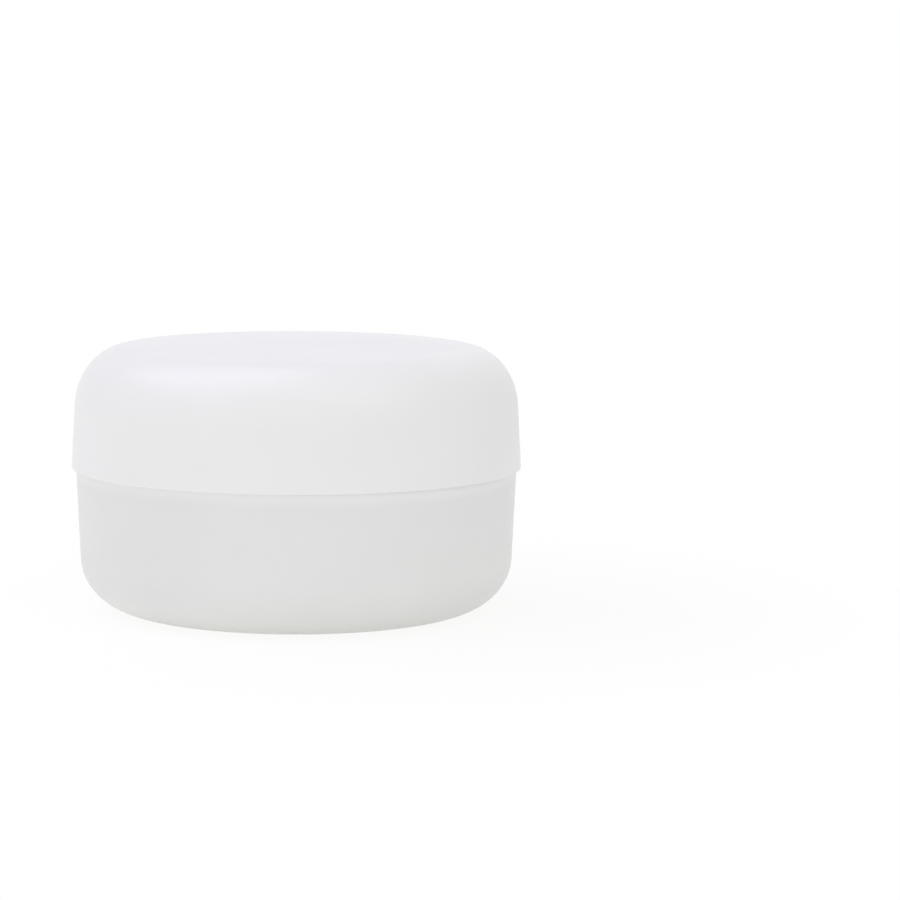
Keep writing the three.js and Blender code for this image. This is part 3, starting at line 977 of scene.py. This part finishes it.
def pad_points(place, rows, columns, embossed):
    """Grid of one pad, from the middle of its underside round its edge to the middle of its upper side.

    Along a row the share of the radius runs from 0 to 1 on the underside and back on the upper side. The
    radius is the cut radius plus three slow cosine waves of the angle. The underside lies on the pad
    below. The upper side is one thickness above it, less a crimp that eases in over the last eighth, less
    shallow dots where the cloth was embossed. Both sides then rise by the shared wave of the stack.
    """
    draw = np.random.default_rng(PAD_SEED + place)
    half = np.sin(np.linspace(0, np.pi / 2, rows)) ** 0.9
    share = np.concatenate([half, half[::-1]])[:, None]
    upper = np.concatenate([np.zeros(rows), np.ones(rows)])[:, None]
    turn = even_turn(columns)[None, :]
    wander = np.zeros_like(turn)
    for wave in (2, 3, 5):
        wander = wander + draw.uniform(*WANDER) * np.cos(wave * turn + draw.uniform(0, 6.28))
    slip = draw.uniform(-SLIP, SLIP, 2)
    radius = share * (PAD_RADIUS + wander)
    x = radius * np.cos(turn) + slip[0]
    y = radius * np.sin(turn) + slip[1]
    thick = PAD_THICKNESS * (1 - CRIMP * smooth((share - BORDER) / (1 - BORDER)))
    if embossed:
        dots = (np.cos(2 * np.pi * x / EMBOSS_STEP) + np.cos(2 * np.pi * y / EMBOSS_STEP)) / 2
        thick = thick - EMBOSS_DEPTH * eased_step(dots, 0.5, 0.5) * smooth((BORDER - share) / EMBOSS_FADE)
    level = UNDER_LIFT * (PAD_THICKNESS - thick) * (1 - upper) + upper * thick
    growth = TOP_WAVE * (place / (PAD_COUNT - 1)) ** 2
    z = FIRST_PAD + place * PAD_PITCH + level + growth * stack_wave(x, y, share)
    return np.stack([x, y, z], axis=-1)


print("a plain pad's grid:", pad_points(0, *PLAIN_GRID, False).shape)

# %% The stack
SHOWN_PADS = 2
for place in range(PAD_COUNT):
    shown = place >= PAD_COUNT - SHOWN_PADS
    grid = FINE_GRID if shown else PLAIN_GRID
    pad = closed_skin(f"soaked_pad_{place + 1:02d}", pad_points(place, *grid, shown))
    body = "top_pad" if place == PAD_COUNT - 1 else "jar"
    dress(pad, fleece, body, f"pad_{place + 1:02d}")
print("pads:", PAD_COUNT, "and the top one has", len(pad.data.polygons), "faces")

# %% [markdown]
# ## Floor
#
# The jar stands on a plain white sweep. A plain white plane would turn grey in the render, and one that
# only glows would lose the shadow. So the floor is a real surface that takes the jar's shadow, and the
# camera sees it mixed with plain white, more of it further from the jar. It also shines a little warm
# light back up, more on the left, as lit paper does. From below it is clear, so that the foot can be seen.

# %% Helpers for what the camera sees


def to_camera(tree):
    """1 for rays that show the background: those of the camera, of reflections and of clear plastic."""
    rays = tree.nodes.new("ShaderNodeLightPath").outputs
    shown = rays["Is Camera Ray"]
    for name in ("Is Glossy Ray", "Is Transmission Ray"):
        shown = calc(tree, "MAXIMUM", shown, rays[name]).outputs[0]
    return shown


def blend_shaders(tree, factor, one, two):
    """Mix the shaders of two nodes by a factor, and give back the mixing node."""
    mix = tree.nodes.new("ShaderNodeMixShader")
    for socket, value in zip(mix.inputs, (factor, one.outputs[0], two.outputs[0])):
        feed(tree, socket, value)
    return mix


print("shaders can be blended")

# %% Floor finish
GLOW_SHARE = 0.3
GLOW_TINT = (1.0, 1.0, 0.9, 1)
GLOW_REACH = 0.12
GLOW_LEFT = 1.8
GLOW_RIGHT = 0.2
WHITE_RANGE = (0.036, 0.1)
WHITE_NEAR = 0.86


def sweep_finish():
    """White paper: a dull surface with a glow, mixed for the viewer with white, and clear from below."""
    material, tree, shader, place = new_material("white_sweep")
    wire(tree, shader, Base_Color=(0.93, 0.93, 0.93, 1), Roughness=0.9, Specular_IOR_Level=0.0)
    side = put(tree, "ShaderNodeSeparateXYZ", Vector=place).outputs["X"]
    strength = ranged(tree, side, -GLOW_REACH, GLOW_REACH, GLOW_LEFT, GLOW_RIGHT)
    glow = put(tree, "ShaderNodeEmission", Color=GLOW_TINT, Strength=strength)
    lit = blend_shaders(tree, GLOW_SHARE, shader, glow)
    away = calc(tree, "LENGTH", place, kind="ShaderNodeVectorMath").outputs["Value"]
    whiter = ranged(tree, away, *WHITE_RANGE, WHITE_NEAR, 1.0, eased=True)
    paper_share = calc(tree, "MULTIPLY", to_camera(tree), whiter).outputs[0]
    seen = blend_shaders(tree, paper_share, lit, put(tree, "ShaderNodeEmission", Strength=1.0))
    behind = tree.nodes.new("ShaderNodeNewGeometry").outputs["Backfacing"]
    whole = blend_shaders(tree, behind, seen, tree.nodes.new("ShaderNodeBsdfTransparent"))
    wire(tree, tree.nodes["Material Output"], Surface=whole.outputs[0])
    return material


floor_white = sweep_finish()
print("finish", floor_white.name)

# %% Floor surface
FLOOR_HALF = 3.0
FLOOR_DROP = -0.0001
floor_corners = [(-FLOOR_HALF, -FLOOR_HALF), (FLOOR_HALF, -FLOOR_HALF),
                 (FLOOR_HALF, FLOOR_HALF), (-FLOOR_HALF, FLOOR_HALF)]
floor_mesh = bpy.data.meshes.new("floor")
floor_mesh.from_pydata([(x, y, FLOOR_DROP) for x, y in floor_corners], [], [(0, 1, 2, 3)])
floor_mesh.materials.append(floor_white)
floor = bpy.data.objects.new("floor", floor_mesh)
bpy.context.scene.collection.objects.link(floor)
print("floor is", round(floor.dimensions.x, 1), "m wide")

# %% [markdown]
# ## Light
#
# White plastic on white shows its form only by soft differences of light. The room lights the jar from
# all sides at a plain level, a little stronger from below and from the right, and shows itself as white
# to the camera. It is mirrored a little darker from behind, which keeps the edges of the jar readable.
# Three soft boxes add the rest: one overhead on the left that makes the sheen on the lid's shoulder, one
# in front on the right, and a low one that reaches under the overhanging rim. Strong lamps alone would
# cast hard shadows and burn the white out.

# %% Room
ROOM_LEVEL = 0.803
ROOM_SLOPE = (0.16, -0.02, -0.26)
ROOM_TINT = (1.0, 1.0, 0.982, 1)
DUSK_RANGE = (0.6, 0.97)
DUSK_DEPTH = 0.2
world = bpy.data.worlds.new("white_room")
world.use_nodes = True
bpy.context.scene.world = world
tree = world.node_tree
direction = tree.nodes.new("ShaderNodeTexCoord").outputs["Generated"]
slope = calc(tree, "DOT_PRODUCT", direction, ROOM_SLOPE, kind="ShaderNodeVectorMath").outputs["Value"]
room_light = wire(
    tree, tree.nodes["Background"],
    Color=ROOM_TINT, Strength=calc(tree, "ADD", slope, ROOM_LEVEL).outputs[0])
behind = put(tree, "ShaderNodeSeparateXYZ", Vector=direction).outputs["Y"]
dusk = ranged(tree, behind, *DUSK_RANGE, DUSK_DEPTH, 0.0)
mirrored = tree.nodes.new("ShaderNodeLightPath").outputs["Is Glossy Ray"]
shade = calc(tree, "MULTIPLY", dusk, mirrored).outputs[0]
room_shown = put(
    tree, "ShaderNodeBackground",
    Color=(1, 1, 1, 1), Strength=calc(tree, "SUBTRACT", 1.0, shade).outputs[0])
room = blend_shaders(tree, to_camera(tree), room_light, room_shown)
wire(tree, tree.nodes["World Output"], Surface=room.outputs[0])
print("room level:", ROOM_LEVEL)

# %% Soft boxes
JAR_MIDDLE = Vector((0, 0, 0.02))


def soft_box(name, spot, size, watts, tint=(1, 1, 1)):
    """A square lamp at a spot, turned to face the middle of the jar."""
    lamp = bpy.data.lights.new(name, "AREA")
    lamp.size = size
    lamp.energy = watts
    lamp.color = tint
    holder = bpy.data.objects.new(name, lamp)
    holder.location = spot
    aim = JAR_MIDDLE - holder.location
    holder.rotation_mode = "QUATERNION"
    holder.rotation_quaternion = aim.to_track_quat("-Z", "Y")
    holder.visible_camera = False
    bpy.context.scene.collection.objects.link(holder)
    return holder


soft_box("overhead_light", spot=(-0.58, 0.05, 1.24), size=1.3, watts=7.6, tint=(0.79, 0.785, 1.0))
soft_box("front_light", spot=(0.5, -0.75, 1.0), size=0.9, watts=1.7)
fill_light = soft_box("fill_light", spot=(0.1, -1.2, 0.12), size=0.8, watts=1.6)
fill_light.visible_glossy = False

# %% [markdown]
# ## Camera
#
# The camera stands half a metre away, a little above the jar, and looks slightly to its right, so the
# jar sits left of the middle of the frame. Its numbers come from fitting the jar's seam, foot and sides.
# A Track To constraint could aim it, but would leave out the slight roll. So its three directions are
# worked out from yaw, pitch and roll and become the columns of its matrix.

# %% Camera and view
YAW, PITCH, ROLL = (math.radians(angle) for angle in (2.593, 6.867, 0.416))
CAMERA_SPOT = (0.0, -0.51286, 0.08592)
ahead = np.array([math.sin(YAW) * math.cos(PITCH), math.cos(YAW) * math.cos(PITCH), -math.sin(PITCH)])
level = np.array([math.cos(YAW), -math.sin(YAW), 0.0])
upright = np.cross(level, ahead)
right = math.cos(ROLL) * level + math.sin(ROLL) * upright
up = math.cos(ROLL) * upright - math.sin(ROLL) * level
lens = bpy.data.cameras.new("camera")
lens.sensor_width = 36.0
lens.lens = 136.12
camera = bpy.data.objects.new("camera", lens)
stand = np.eye(4)
stand[:3, :3] = np.column_stack([right, up, -ahead])
stand[:3, 3] = CAMERA_SPOT
camera.matrix_world = Matrix(stand.tolist())
bpy.context.scene.collection.objects.link(camera)
bpy.context.scene.camera = camera
bpy.context.scene.view_settings.view_transform = "Standard"
print("camera at", [round(v, 3) for v in CAMERA_SPOT], "m")
